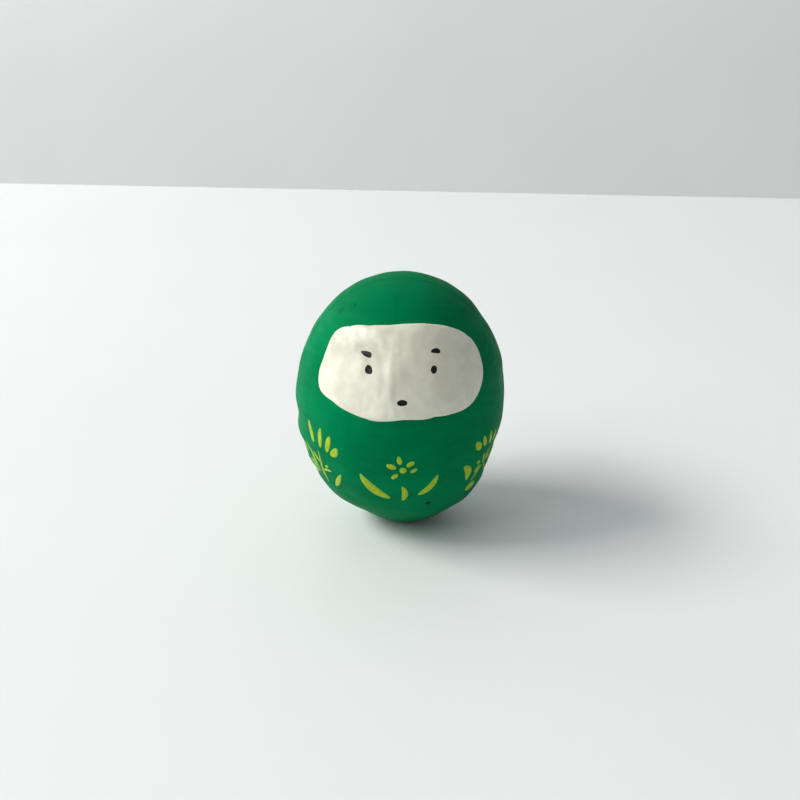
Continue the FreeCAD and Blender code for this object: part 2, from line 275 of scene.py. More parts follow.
# %% Draw the face's outline
FACE_MIDDLE = Vector((0.0, 59.6))
FACE_OUTLINE = [
    (24.7, 56.5), (24, 60.5), (22.5, 64), (20, 67), (14.5, 70.5), (9, 72),
    (3, 72.6), (-3, 72.3), (-9, 71.7), (-15, 70.5), (-18.5, 69), (-20.5, 66.8),
    (-22, 63.5), (-23.3, 60), (-24.4, 57), (-24.6, 53), (-23.5, 51),
    (-20, 49.6), (-14.5, 47.4), (-10.5, 46.6), (-3, 46.4), (2, 46.8),
    (10, 47.2), (15, 47.2), (19.5, 47.9), (22.5, 50), (24.2, 53.2),
]


def outline_reach(outline, middle):
    """The outline as (angle, distance from its middle), in turning order."""
    arms = [Vector(corner) - middle for corner in outline]
    return sorted((math.atan2(arm.y, arm.x), arm.length) for arm in arms)


FACE_REACH = outline_reach(FACE_OUTLINE, FACE_MIDDLE)


def reach_at(reach, angle):
    """The outline's distance at an angle, on a smooth closed curve."""
    count = len(reach)
    after = next((i for i, (a, _) in enumerate(reach) if a > angle), 0)
    a0, r0 = reach[after - 1]
    a1, r1 = reach[after]
    before, beyond = reach[after - 2][1], reach[(after + 1) % count][1]
    width = (a1 - a0) % (2 * math.pi)
    t = ((angle - a0) % (2 * math.pi)) / width
    rise0, rise1 = (r1 - before) / 2, (beyond - r0) / 2
    return (
        r0 * (2 * t**3 - 3 * t**2 + 1) + rise0 * (t**3 - 2 * t**2 + t)
        + r1 * (3 * t**2 - 2 * t**3) + rise1 * (t**3 - t**2)
    )


# %% Lay the face on the skin
FACE_LIFT, FACE_THICKNESS = 0.16, 0.3
FOLD_RISE, CRUMPLE_RISE = 0.22, 0.10
IN_FRONT = -80


def drop_on(tree, start, heading):
    """Where a ray meets a surface, and the surface's outward normal."""
    place, normal, _, _ = tree.ray_cast(start, heading)
    return place, normal


def face_wrinkle(x, z):
    """Soft upright folds in the face's paper, deeper on its left, in mm."""
    wander = 2.0 * noise.noise(Vector((x / 9, z / 9, 2.5)))
    folds = noise.noise(Vector(((x + wander) / 3.4, z / 8.5, 0.3)))
    crumple = noise.noise(Vector((x / 2.1, z / 2.6, 5.8)))
    wrinkled = FACE_LIFT + FOLD_RISE * folds + CRUMPLE_RISE * crumple
    return wrinkled * (1 - 0.8 * smooth(-6, 8, x))


face_mesh = bmesh.new()
first = face_mesh.verts.new((0, 0, 0))
last = face_mesh.verts.new((1, 0, 0))
spoke = face_mesh.edges.new((first, last))
bmesh.ops.subdivide_edges(face_mesh, edges=[spoke], cuts=55)
bmesh.ops.spin(
    face_mesh, geom=face_mesh.verts[:] + face_mesh.edges[:], cent=(0, 0, 0),
    axis=(0, 0, 1), dvec=(0, 0, 0), angle=2 * math.pi, steps=240,
    use_merge=True, use_duplicate=False,
)
bmesh.ops.remove_doubles(face_mesh, verts=face_mesh.verts, dist=1e-4)
for vertex in face_mesh.verts:
    ring = vertex.co.length
    angle = math.atan2(vertex.co.y, vertex.co.x)
    distance = ring * reach_at(FACE_REACH, angle)
    x = FACE_MIDDLE.x + distance * math.cos(angle)
    z = FACE_MIDDLE.y + distance * math.sin(angle)
    start = Vector((x, IN_FRONT, z))
    place, normal = drop_on(skin_tree, start, Vector((0, 1, 0)))
    inside = 1 - smooth(0.86, 0.99, ring)
    lift = FACE_LIFT * (1 - smooth(0.975, 1.0, ring) * 1.3)
    vertex.co = place + normal * (lift + face_wrinkle(x, z) * inside)
bmesh.ops.recalc_face_normals(face_mesh, faces=face_mesh.faces)
if sum(face.normal.y for face in face_mesh.faces) > 0:
    bmesh.ops.reverse_faces(face_mesh, faces=face_mesh.faces)
face_tree = BVHTree.FromBMesh(face_mesh)
bmesh.ops.solidify(face_mesh, geom=face_mesh.faces, thickness=FACE_THICKNESS)
bmesh.ops.recalc_face_normals(face_mesh, faces=face_mesh.faces)
face_patch = finish_piece(
    face_mesh, "face_patch", "face_coat", slot="cream_paint", merge=0
)

# %% [markdown]
# ## Brush marks
# Each mark is one touch of a loaded brush: pointed where it lands or leaves,
# fat between, and raised, with a rim where the paint dried first. A grid is
# the right start, because its UV map runs along and across the mark, which
# the paint's pattern needs later. The grid is narrowed to the mark's shape,
# bent, and dropped on the skin along the plant's own direction.

# %% The shape of one touch of the brush
SPREAD = 1.1
MARK_RISE, BLACK_RISE, MARK_DEPTH = 0.09, 0.08, 0.2


def touch_width(along, blunt, fullness):
    """Half-width from 0 to 1, for 0 at the root and 1 at the tip."""
    return math.sin(math.pi * along ** blunt) ** fullness


def add_touch(bm, tree, mark, blunt, fullness, height, lay):
    """Adds one mark. mark is (across, up, length, width, lean, bow)."""
    across, up, length, width, tilt, bow = mark
    made = bmesh.ops.create_grid(
        bm, x_segments=8, y_segments=20, size=0.5, calc_uvs=True
    )
    turn = math.radians(tilt)
    for vertex in made["verts"]:
        side, along = vertex.co.x * 2, vertex.co.y + 0.5
        half = SPREAD * width / 2 * max(touch_width(along, blunt, fullness), 0.03)
        ragged = 1 + 0.10 * noise.noise(
            Vector((side * 2, along * 3, across + up))
        )
        s = side * half * ragged + bow * (1 - (2 * along - 1) ** 2)
        t = length * (along - 0.5)
        place, normal = lay(
            tree,
            across + s * math.cos(turn) + t * math.sin(turn),
            up - s * math.sin(turn) + t * math.cos(turn),
        )
        end = abs(2 * along - 1)
        edge = max(abs(side), end ** 2)
        crown = height * (1 - edge ** 5 * 1.5)
        rim = 0.25 * height * math.exp(-(((edge - 0.74) / 0.14) ** 2))
        vertex.co = place + normal * (crown + rim)
    return made["verts"]


def front_lay(tree, x, z):
    """Drops a point on a surface from straight ahead."""
    return drop_on(tree, Vector((x, IN_FRONT, z)), Vector((0, 1, 0)))


def turned_lay(middle_height, azimuth):
    """Drops points around a plant's middle, from the side it faces."""
    angle = math.radians(azimuth)
    out = Vector((math.sin(angle), -math.cos(angle), 0))
    along = Vector((math.cos(angle), math.sin(angle), 0))

    def lay(tree, across, up):
        start = along * across + Vector((0, 0, middle_height + up))
        start -= out * IN_FRONT
        return drop_on(tree, start, -out)

    return lay


# %% A helper that makes a plant or a feature from its marks
def brush_piece(
    name, node, marks, lay, tree, slot,
    blunt=0.9, fullness=0.56, height=MARK_RISE,
):
    """All the marks of one CAD node as one piece of raised paint."""
    bm = bmesh.new()
    bm.loops.layers.uv.new("touch")
    for mark in marks:
        made = add_touch(bm, tree, mark, blunt, fullness, height, lay)
        faces = list({face for v in made for face in v.link_faces})
        middle = faces[0].calc_center_median()
        outward = Vector((middle.x, middle.y, 0))
        if sum(face.normal.dot(outward) for face in faces) < 0:
            bmesh.ops.reverse_faces(bm, faces=faces)
        bmesh.ops.solidify(bm, geom=faces, thickness=MARK_DEPTH)
    bm.normal_update()
    return finish_piece(bm, name, node, slot=slot, merge=0)


# %% [markdown]
# ## Eyes, brows and mouth
# Five black touches make the whole expression. The eyes are drops with their
# points up, the left brow slants down to the nose, the right one lies nearly
# level, and the mouth is a short almond.

# %% Touch in the face
def face_touch(name, x, z, length, width, tilt, bow, blunt, fullness):
    mark = (x, z, length, width, tilt, bow)
    return brush_piece(
        name + "_touch", name, [mark], front_lay, face_tree,
        "black_paint", blunt, fullness, BLACK_RISE,
    )


left_eye = face_touch("left_eye", -9.3, 60.65, 2.5, 2.15, -4, 0.0, 0.74, 0.5)
right_eye = face_touch("right_eye", 9.6, 60.6, 2.2, 1.8, 2, 0.0, 1.0, 0.42)
left_brow = face_touch("left_brow", -10.0, 64.75, 3.3, 1.6, -79, -0.1, 0.62, 0.6)
right_brow = face_touch("right_brow", 10.1, 65.15, 2.9, 1.3, -80, 0.3, 0.85, 0.5)
mouth = face_touch("mouth", 0.4, 52.05, 3.1, 1.7, 90, 0.0, 1.0, 0.5)
face_touches = [left_eye, right_eye, left_brow, right_brow, mouth]

# %% [markdown]
# ## The plants
# A flower of six dabs with three leaves sits on the belly, and a sprig on each
# side: a fan of leaves over two crossed stems with needles. Every mark is
# written as the painter would place it: how far across and up from the plant's
# middle, how long, how wide, which way it leans and how it bows.

# %% List the marks of each plant
FLOWER = [
    (0.7, 0, 2.2, 1.9, 80, 0), (-0.4, 3.5, 2.8, 1.5, -10, 0),
    (-2.8, 1.3, 3.2, 1.6, -70, 0), (2.9, 2.2, 2.8, 1.4, 57, 0),
    (3.9, -0.2, 2.3, 1.0, 62, 0), (-1.8, -2.3, 2.5, 1.3, 50, 0),
]
BELLY_LEAVES = [
    (-7.7, -6.9, 12.8, 2.6, -46, -1.2), (8.2, -6.5, 9.5, 1.9, 39, 1.0),
    (0.5, -9.2, 6.2, 1.8, -2, 0.8),
]
LEFT_LEAVES = [
    (-0.9, 13.1, 7.2, 1.9, -17, -0.4), (4.0, 12.4, 7.0, 2.0, 9, -0.3),
    (7.3, 11.3, 6.3, 2.0, 21, -0.2), (9.2, 9.2, 4.3, 2.3, 43, 0.3),
    (6.6, -2.0, 8.4, 1.5, 41, 0.2), (-9.8, 4.4, 5.2, 1.5, -56, 0),
    (-9.4, -2.4, 7.0, 1.5, -40, -0.2),
]
LEFT_NEEDLES = [
    (1.2, 1.2, 13.0, 1.0, 7, -0.3), (-3.0, 3.2, 10.6, 0.9, -16, 0),
    (-0.9, 4.2, 3.9, 0.8, -50, 0), (3.3, 0.5, 3.8, 0.8, 80, -0.2),
    (3.7, 2.2, 1.7, 0.7, 72, 0), (-4.4, 0.6, 4.4, 0.8, -72, 0.2),
    (-4.6, -1.6, 3.6, 0.8, -60, 0),
]
RIGHT_LEAVES = [
    (-5.3, 7.7, 4.2, 2.3, -42, 0), (-2.4, 8.4, 4.4, 1.7, -28, 0),
    (1.0, 8.5, 4.8, 1.5, -10, 0), (4.3, 7.9, 3.6, 1.3, 22, 0),
    (9.6, 4.6, 4.0, 1.7, 46, 0), (-7.9, -1.2, 7.2, 2.4, -30, 1),
    (10.4, -1.4, 7.0, 2.4, 30, -1), (-2.1, -8.3, 4.6, 2.6, 78, 0),
]
RIGHT_NEEDLES = [
    (0.3, 1.3, 4.2, 1.0, -15, 0), (-1.55, -3.3, 6.2, 0.8, 42, 0),
    (-2.6, 0.9, 2.4, 0.9, -74, 0), (-2.2, -1.6, 2.9, 1.3, 42, 0),
    (3.6, -3.2, 5.6, 0.8, -38, 0), (3.2, 0.6, 3.0, 0.8, 78, 0),
    (2.4, 2.4, 3.6, 0.8, 40, 0),
]

# %% Paint the plants
on_belly = turned_lay(BELLY_HEIGHT - 12.0, 0)
on_left = turned_lay(BELLY_HEIGHT - 18.2, -55)
on_right = turned_lay(BELLY_HEIGHT - 16.2, 57)
plants = [
    brush_piece(node + "_marks", node, marks, lay, skin_tree, "yellow_green_paint")
    for node, marks, lay in (
        ("flower", FLOWER, on_belly), ("belly_leaves", BELLY_LEAVES, on_belly),
        ("left_leaves", LEFT_LEAVES, on_left),
        ("left_needles", LEFT_NEEDLES, on_left),
        ("right_leaves", RIGHT_LEAVES, on_right),
        ("right_needles", RIGHT_NEEDLES, on_right),
    )
]

# %% [markdown]
# ## The paper under the paint
# Under the chalk ground are the two halves of the paper shell, and a strip
# pasted over their joint. They follow the same lumps as the paint, so the CAD
# halves, which are true, are replaced: nested eggs are cut by a plane, and
# the two rims that the cut leaves are bridged.

# %% Cut the two halves and the strip
PAPER = (0.5, 1.7)
STRIP_PAPER = (0.35, 0.49)
WALL_MESH = (128, 80)


def cut_wall(name, node, outer, inner_depth, cuts, slot):
    """A wall between two depths, kept on one side of each cutting plane."""
    bm = bmesh.new()
    skin_shell(bm, *WALL_MESH, outer)
    made = skin_shell(bm, *WALL_MESH, inner_depth)
    faces = list({face for vertex in made for face in vertex.link_faces})
    bmesh.ops.reverse_faces(bm, faces=faces)
    for place, heading in cuts:
        bmesh.ops.bisect_plane(
            bm, geom=bm.verts[:] + bm.edges[:] + bm.faces[:],
            plane_co=place, plane_no=heading, clear_outer=True,
        )
        rims = [edge for edge in bm.edges if edge.is_boundary]
        bmesh.ops.bridge_loops(bm, edges=rims)
    bmesh.ops.recalc_face_normals(bm, faces=bm.faces)
    return finish_piece(bm, name, node, slot=slot, merge=0)


front_paper = cut_wall(
    "front_paper_shell", "front_shell", *PAPER, [((0, 0, 0), (0, 1, 0))],
    "shell_paper",
)
back_paper = cut_wall(
    "back_paper_shell", "back_shell", *PAPER, [((0, 0, 0), (0, -1, 0))],
    "shell_paper",
)
pasted_strip = cut_wall(
    "pasted_strip", "joint_strip", *STRIP_PAPER,
    [((0, STRIP_HALF, 0), (0, 1, 0)), ((0, -STRIP_HALF, 0), (0, -1, 0))],
    "strip_paper",
)

# %% [markdown]
# ## The foot
# The doll stands on a small disc of card, which shows as a dark sliver under
# the belly. A circle is extruded, its edge is bevelled, and its outline is
# made slightly uneven, as scissors leave it.

# %% Cut the foot
FOOT_RADIUS = foot_high.x / MM
FOOT_HEIGHT = foot_high.z / MM
FOOT_TRIM, FOOT_SUNK, FOOT_ROUND = 0.1, 0.4, 0.35
foot_mesh = bmesh.new()
bmesh.ops.create_circle(
    foot_mesh, cap_ends=True, segments=96, radius=FOOT_RADIUS - FOOT_TRIM
)
raised = bmesh.ops.extrude_face_region(foot_mesh, geom=foot_mesh.faces[:])
top_verts = [v for v in raised["geom"] if isinstance(v, bmesh.types.BMVert)]
bmesh.ops.translate(foot_mesh, vec=(0, 0, FOOT_HEIGHT + FOOT_SUNK), verts=top_verts)
bmesh.ops.recalc_face_normals(foot_mesh, faces=foot_mesh.faces)
rims = [
    edge for edge in foot_mesh.edges
    if abs(edge.verts[0].co.z - edge.verts[1].co.z) < 0.01
]
bmesh.ops.bevel(
    foot_mesh, geom=rims, offset=FOOT_ROUND, affect="EDGES", segments=3,
    profile=0.5, material=-1,
)
for vertex in foot_mesh.verts:
    angle = math.atan2(vertex.co.y, vertex.co.x)
    uneven = 1 + 0.012 * math.sin(3 * angle + 1) + 0.008 * math.sin(7 * angle)
    vertex.co.x = vertex.co.x * uneven + lean(0)
    vertex.co.y = vertex.co.y * uneven
card_foot = finish_piece(foot_mesh, "card_foot", "base_disc", slot="foot_card")

# %% [markdown]
# ## Shared paint effects
# Three effects come back in several finishes, so each is a node group with
# named inputs: streaks that the brush leaves round the egg, the grain of the
# paper under the paint, and blotches where the paint is thicker. A group
# gives only masks and heights. The shader stays in each material.

# %% Helpers for nodes
def add_node(tree, kind, sockets=None, **settings):
    """Adds a node, sets its own settings and then its input sockets."""
    node = tree.nodes.new(kind)
    for name, value in settings.items():
        setattr(node, name, value)
    for name, value in (sockets or {}).items():
        if isinstance(value, bpy.types.NodeSocket):
            tree.links.new(value, node.inputs[name])
        else:
            node.inputs[name].default_value = value
    return node


def maths(tree, operation, first, second=0.5, third=0.5, clamp=False):
    node = add_node(
        tree, "ShaderNodeMath", {0: first, 1: second, 2: third},
        operation=operation, use_clamp=clamp,
    )
    return node.outputs[0]


def remap(tree, value, low, high, to_low=0.0, to_high=1.0, eased=True):
    node = add_node(
        tree, "ShaderNodeMapRange",
        {"Value": value, "From Min": low, "From Max": high,
         "To Min": to_low, "To Max": to_high},
        interpolation_type="SMOOTHSTEP" if eased else "LINEAR",
    )
    return node.outputs["Result"]


def mixed(tree, amount, first, second, blend="MIX"):
    """Mixes two colours."""
    node = add_node(
        tree, "ShaderNodeMix", data_type="RGBA", blend_type=blend,
    )
    sockets = {0: amount, 6: first, 7: second}
    for index, value in sockets.items():
        if isinstance(value, bpy.types.NodeSocket):
            tree.links.new(value, node.inputs[index])
        else:
            node.inputs[index].default_value = value
    return node.outputs[2]


def linear(red, green, blue):
    """A colour as a paint chart gives it, 0 to 255, made linear."""
    parts = [value / 255 for value in (red, green, blue)]
    curve = [
        p / 12.92 if p <= 0.04045 else ((p + 0.055) / 1.055) ** 2.4 for p in parts
    ]
    return (*curve, 1.0)


def new_group(name, inputs, outputs):
    """A node group with a vector input, plain inputs and plain outputs."""
    tree = bpy.data.node_groups.new(name, "ShaderNodeTree")
    tree.interface.new_socket("Place", in_out="INPUT", socket_type="NodeSocketVector")
    for label, value in inputs.items():
        socket = tree.interface.new_socket(
            label, in_out="INPUT", socket_type="NodeSocketFloat"
        )
        socket.default_value = value
    for label in outputs:
        tree.interface.new_socket(label, in_out="OUTPUT", socket_type="NodeSocketFloat")
    entry = tree.nodes.new("NodeGroupInput").outputs
    leave = tree.nodes.new("NodeGroupOutput").inputs
    return tree, entry, leave


def use_group(tree, group, place, **values):
    node = add_node(tree, "ShaderNodeGroup", node_tree=group)
    tree.links.new(place, node.inputs["Place"])
    for label, value in values.items():
        socket = node.inputs[label.replace("_", " ")]
        if isinstance(value, bpy.types.NodeSocket):
            tree.links.new(value, socket)
        else:
            socket.default_value = value
    return node.outputs


# %% Brush streaks that run round the egg
streak_group, entry, leave = new_group(
    "brush_streaks", {"Per metre": 900.0, "Length": 9.0}, ["Streak", "Bristle"]
)
squash = maths(streak_group, "DIVIDE", 1.0, entry["Length"])
stretch = add_node(
    streak_group, "ShaderNodeCombineXYZ", {"X": squash, "Y": squash, "Z": 1.0}
).outputs[0]
drift = add_node(
    streak_group, "ShaderNodeTexNoise",
    {"Vector": entry["Place"], "Scale": 45.0, "Detail": 1.0},
).outputs["Color"]
swayed = add_node(
    streak_group, "ShaderNodeVectorMath",
    {0: drift, 1: (0.010, 0.010, 0.010), 2: entry["Place"]},
    operation="MULTIPLY_ADD",
).outputs[0]
drawn_out = add_node(
    streak_group, "ShaderNodeVectorMath", {0: swayed, 1: stretch},
    operation="MULTIPLY",
).outputs[0]
for label, finer, detail in (("Streak", 0.22, 2.0), ("Bristle", 1.0, 3.0)):
    scale = maths(streak_group, "MULTIPLY", entry["Per metre"], finer)
    pattern = add_node(
        streak_group, "ShaderNodeTexNoise",
        {"Vector": drawn_out, "Scale": scale, "Detail": detail, "Roughness": 0.55},
    ).outputs["Fac"]
    streak_group.links.new(remap(streak_group, pattern, 0.3, 0.7), leave[label])

# %% The paper's grain under a coat
grain_group, entry, leave = new_group(
    "paper_grain", {"Fibre": 700.0, "Crumple": 160.0}, ["Height", "Fibres"]
)
fibre = add_node(
    grain_group, "ShaderNodeTexNoise",
    {"Vector": entry["Place"], "Scale": entry["Fibre"], "Detail": 4.0,
     "Roughness": 0.6, "Distortion": 0.8},
).outputs["Fac"]
crumple = add_node(
    grain_group, "ShaderNodeTexNoise",
    {"Vector": entry["Place"], "Scale": entry["Crumple"], "Detail": 3.0},
).outputs["Fac"]
ridge = maths(grain_group, "ABSOLUTE", maths(grain_group, "SUBTRACT", crumple, 0.5))
grain_group.links.new(fibre, leave["Fibres"])
grain_group.links.new(
    maths(grain_group, "MULTIPLY_ADD", fibre, 0.35, ridge), leave["Height"]
)

# %% Blotches, where the paint lies thicker
blotch_group, entry, leave = new_group("blotches", {"Per metre": 70.0}, ["Mask"])
cloud = add_node(
    blotch_group, "ShaderNodeTexNoise",
    {"Vector": entry["Place"], "Scale": entry["Per metre"], "Detail": 3.0,
     "Distortion": 0.6},
).outputs["Fac"]
blotch_group.links.new(remap(blotch_group, cloud, 0.35, 0.65), leave["Mask"])
print("node groups:", [group.name for group in bpy.data.node_groups])

# %% A material's starting point
def new_material(name, **shader_values):
    """A material with a Principled shader and its object's coordinates."""
    material = bpy.data.materials.new(name)
    material.use_nodes = True
    tree = material.node_tree
    shader = tree.nodes["Principled BSDF"]
    for label, value in shader_values.items():
        shader.inputs[label.replace("_", " ")].default_value = value
    place = add_node(tree, "ShaderNodeTexCoord").outputs["Object"]
    return material, tree, shader, place


def raise_surface(tree, shader, height, distance, strength=1.0):
    """Lets a height pattern turn the shader's normal. distance is in metres."""
    bump = add_node(
        tree, "ShaderNodeBump",
        {"Height": height, "Distance": distance, "Strength": strength},
    )
    tree.links.new(bump.outputs["Normal"], shader.inputs["Normal"])


def spot(tree, place, middle, radius, softness=0.35):
    """A mask that is 1 inside a small round spot, given in mm."""
    away = add_node(
        tree, "ShaderNodeVectorMath", {0: place, 1: Vector(middle) * MM},
        operation="DISTANCE",
    ).outputs["Value"]
    return remap(
        tree, away, radius * (1 - softness) * MM, radius * (1 + softness) * MM,
        1.0, 0.0,
    )


# %% [markdown]
# ## Green paint
# The green is a poster paint brushed on in rings. It dries satin, a little
# uneven: darker where two strokes overlap, lighter and bluer where it is thin.
# A small chip near the foot, a smudge and a pinhole by the crown are placed
# where they are on the real one. The chip and the pinhole are shallow dents,
# darkened with painted shade; the smudge is a stain. The top of the crown is
# darkened with painted shade.

# %% Mix the green paint
green, tree, shader, place = new_material(
    "green_paint", Roughness=0.5, Specular_IOR_Level=0.02,
    Specular_Tint=(0.0, 1.0, 0.7, 1.0),
)
streaks = use_group(tree, streak_group, place, Per_metre=620.0, Length=7.0)
grain = use_group(tree, grain_group, place, Fibre=900.0, Crumple=210.0)
thick = use_group(tree, blotch_group, place, Per_metre=60.0)["Mask"]
colour = mixed(tree, thick, linear(0, 117, 68), linear(0, 126, 77))
colour = mixed(
    tree, maths(tree, "MULTIPLY", streaks["Streak"], 0.45), colour,
    linear(0, 104, 58),
)
colour = mixed(
    tree, maths(tree, "MULTIPLY", streaks["Bristle"], 0.16), colour,
    linear(0, 138, 90),
)
# Painted shade: towards the top of the crown the green is mixed darker.
upward = add_node(tree, "ShaderNodeSeparateXYZ", {"Vector": place}).outputs["Z"]
crown = remap(tree, upward, 0.066, 0.079, 0.0, 0.45)
colour = mixed(tree, crown, colour, linear(0, 102, 59))
# Painted shade: the chip and the pinhole are shallow dents, darkened to stand for the
# shade in them; the smudge is a stain.
chip_shade = spot(tree, place, CHIP_AT, 0.8)
smudge = spot(tree, place, SMUDGE_AT, 1.2, 0.8)
pinhole_shade = spot(tree, place, PIT_AT, 0.35, 0.6)
marks = maths(
    tree, "MAXIMUM", maths(tree, "MULTIPLY", smudge, 0.5),
    maths(tree, "MULTIPLY", pinhole_shade, 0.35),
)
colour = mixed(tree, marks, colour, linear(10, 62, 40))
colour = mixed(tree, chip_shade, colour, linear(28, 44, 30))
tree.links.new(colour, shader.inputs["Base Color"])
gloss = remap(tree, streaks["Bristle"], 0.0, 1.0, 0.56, 0.44, eased=False)
tree.links.new(gloss, shader.inputs["Roughness"])
height = maths(
    tree, "MULTIPLY_ADD", streaks["Bristle"], 0.5, grain["Height"]
)
raise_surface(tree, shader, height, 0.0001, 0.5)
painted_body.data.materials.append(green)

# %% [markdown]
# ## Cream paint
# The face is cream with a faint sheen, over paper that wrinkled as it dried.
# The wrinkles are in the mesh already. The material adds the fibres, slightly
# yellower hollows, stains, and painted shade in three soft spots on the left
# side of the face.

# %% Mix the cream paint
cream, tree, shader, place = new_material("cream_paint", Roughness=0.4)
grain = use_group(tree, grain_group, place, Fibre=1100.0, Crumple=260.0)
thick = use_group(tree, blotch_group, place, Per_metre=120.0)["Mask"]
stain_and_shade_blotch = use_group(tree, blotch_group, place, Per_metre=150.0)["Mask"]
colour = mixed(tree, thick, linear(231, 228, 209), linear(239, 237, 220))
colour = mixed(
    tree, maths(tree, "MULTIPLY", stain_and_shade_blotch, 0.35), colour, linear(206, 202, 182)
)
# Painted shade: three soft spots darken the face's left side, made patchy by the stain
# blotches.
painted_face_shade = spot(tree, place, (-11.0, -24.0, 69.5), 8.0, 0.7)
for shade_at, radius in (((-22.5, -17.0, 58.0), 3.5), ((-19.5, -18.0, 66.5), 5.0)):
    shade_spot = maths(tree, "MULTIPLY", spot(tree, place, shade_at, radius, 0.8), 0.8)
    painted_face_shade = maths(tree, "MAXIMUM", painted_face_shade, shade_spot)
patchy_shade = maths(tree, "MULTIPLY_ADD", stain_and_shade_blotch, 0.4, 0.4)
colour = mixed(
    tree, maths(tree, "MULTIPLY", painted_face_shade, patchy_shade), colour, linear(182, 178, 160)
)
colour = mixed(
    tree, remap(tree, grain["Fibres"], 0.62, 0.8, 0.0, 0.35), colour,
    linear(205, 196, 172),
)
tree.links.new(colour, shader.inputs["Base Color"])
gloss = remap(tree, thick, 0.0, 1.0, 0.46, 0.34, eased=False)
tree.links.new(gloss, shader.inputs["Roughness"])
raise_surface(tree, shader, grain["Height"], 0.00012, 0.7)
face_patch.data.materials.append(cream)

# %% [markdown]
# ## Yellow-green and black paint
# The plants are painted wet: the colour is pushed to the rim, which dries
# paler and greener than the yellow middle. The black touches are smooth and
# nearly glossy. Both read the UV map that runs along each mark.

# %% Mix the two mark paints
def rim_mask(tree, start, end):
    """0 in a mark's middle and 1 at its rim, from its own UV map."""
    uv = add_node(tree, "ShaderNodeUVMap", uv_map="touch").outputs["UV"]
    parts = add_node(tree, "ShaderNodeSeparateXYZ", {"Vector": uv}).outputs
    sides = []
    for part, power in ((parts["X"], 1.0), (parts["Y"], 2.2)):
        off = maths(tree, "ABSOLUTE", maths(tree, "SUBTRACT", part, 0.5))
        sides.append(maths(tree, "POWER", maths(tree, "MULTIPLY", off, 2.0), power))
    return remap(tree, maths(tree, "MAXIMUM", *sides), start, end)


leaf_green, tree, shader, place = new_material(
    "yellow_green_paint", Roughness=0.38, Specular_IOR_Level=0.15
)
rim = rim_mask(tree, 0.30, 0.85)
thick = use_group(tree, blotch_group, place, Per_metre=900.0)["Mask"]
grain = use_group(tree, grain_group, place, Fibre=1500.0, Crumple=400.0)
colour = mixed(tree, thick, linear(158, 170, 0), linear(190, 194, 4))
colour = mixed(tree, rim, colour, linear(132, 192, 74))
colour = mixed(
    tree, remap(tree, grain["Fibres"], 0.60, 0.75, 0.0, 0.3), colour,
    linear(84, 150, 60),
)
tree.links.new(colour, shader.inputs["Base Color"])
raise_surface(tree, shader, grain["Height"], 0.00006, 0.6)
for plant in plants:
    plant.data.materials.append(leaf_green)

black, tree, shader, place = new_material(
    "black_paint", Roughness=0.32, Specular_IOR_Level=0.2
)
rim = rim_mask(tree, 0.35, 0.95)
grain = use_group(tree, grain_group, place, Fibre=1800.0, Crumple=500.0)
colour = mixed(tree, rim, linear(30, 31, 33), linear(18, 19, 24))
colour = mixed(
    tree, remap(tree, grain["Fibres"], 0.62, 0.8, 0.0, 0.4), colour,
    linear(58, 57, 54),
)
tree.links.new(colour, shader.inputs["Base Color"])
raise_surface(tree, shader, grain["Height"], 0.00005, 0.5)
for touch in face_touches:
    touch.data.materials.append(black)

# %% [markdown]
# ## Card, paper and clay
# The foot's card is painted the body's green, thinly, so it reads as a dark
# teal. Inside, the shell is cream paper, the strip and the cover are thin
# white paper, and the clay is a grey-brown with grit. None of the inside shows,
# but each has its own finish, in case someone cuts the doll open.

# %% Mix the remaining finishes
def fibrous(name, pale, deep, fibre, rough, distance):
    """A paper-like finish: two tones, mixed by fibres and blotches."""
    material, tree, shader, place = new_material(name, Roughness=rough)
    grain = use_group(tree, grain_group, place, Fibre=fibre, Crumple=fibre / 5)
    patch = use_group(tree, blotch_group, place, Per_metre=fibre / 9)["Mask"]
    amount = maths(tree, "MULTIPLY_ADD", patch, 0.4, grain["Fibres"], clamp=True)
    colour = mixed(tree, maths(tree, "MULTIPLY", amount, 0.7), pale, deep)
    tree.links.new(colour, shader.inputs["Base Color"])
    raise_surface(tree, shader, grain["Height"], distance, 0.8)
    return material


foot_paint = fibrous(
    "foot_card", linear(8, 84, 66), linear(4, 56, 46), 900.0, 0.55, 0.00010
)
card_foot.data.materials.append(foot_paint)
shell_paper = fibrous(
    "shell_paper", linear(222, 212, 186), linear(190, 176, 146), 800.0, 0.85, 0.00015
)
for shell in (front_paper, back_paper):
    shell.data.materials.append(shell_paper)
strip_paper = fibrous(
    "strip_paper", linear(240, 236, 224), linear(216, 208, 190), 1200.0, 0.8, 0.0001
)
pasted_strip.data.materials.append(strip_paper)
clay = fibrous(
    "clay", linear(150, 138, 124), linear(104, 92, 80), 500.0, 0.9, 0.0003
)


def dress(node, material):
    """Gives a CAD node that stays a better finish."""
    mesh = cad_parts[node].data
    for index in range(max(len(mesh.materials), 1)):
        if mesh.materials:
            mesh.materials[index] = material
        else:
            mesh.materials.append(material)


dress("clay_weight", clay)
dress("weight_cover", strip_paper)

# %% [markdown]
# ## The table and the wall
# The doll stands on a pale table in front of a grey wall. The table ends a
# long arm's reach behind the doll, and its far edge is not quite level. Both
# are stage: they aren't part of the object.

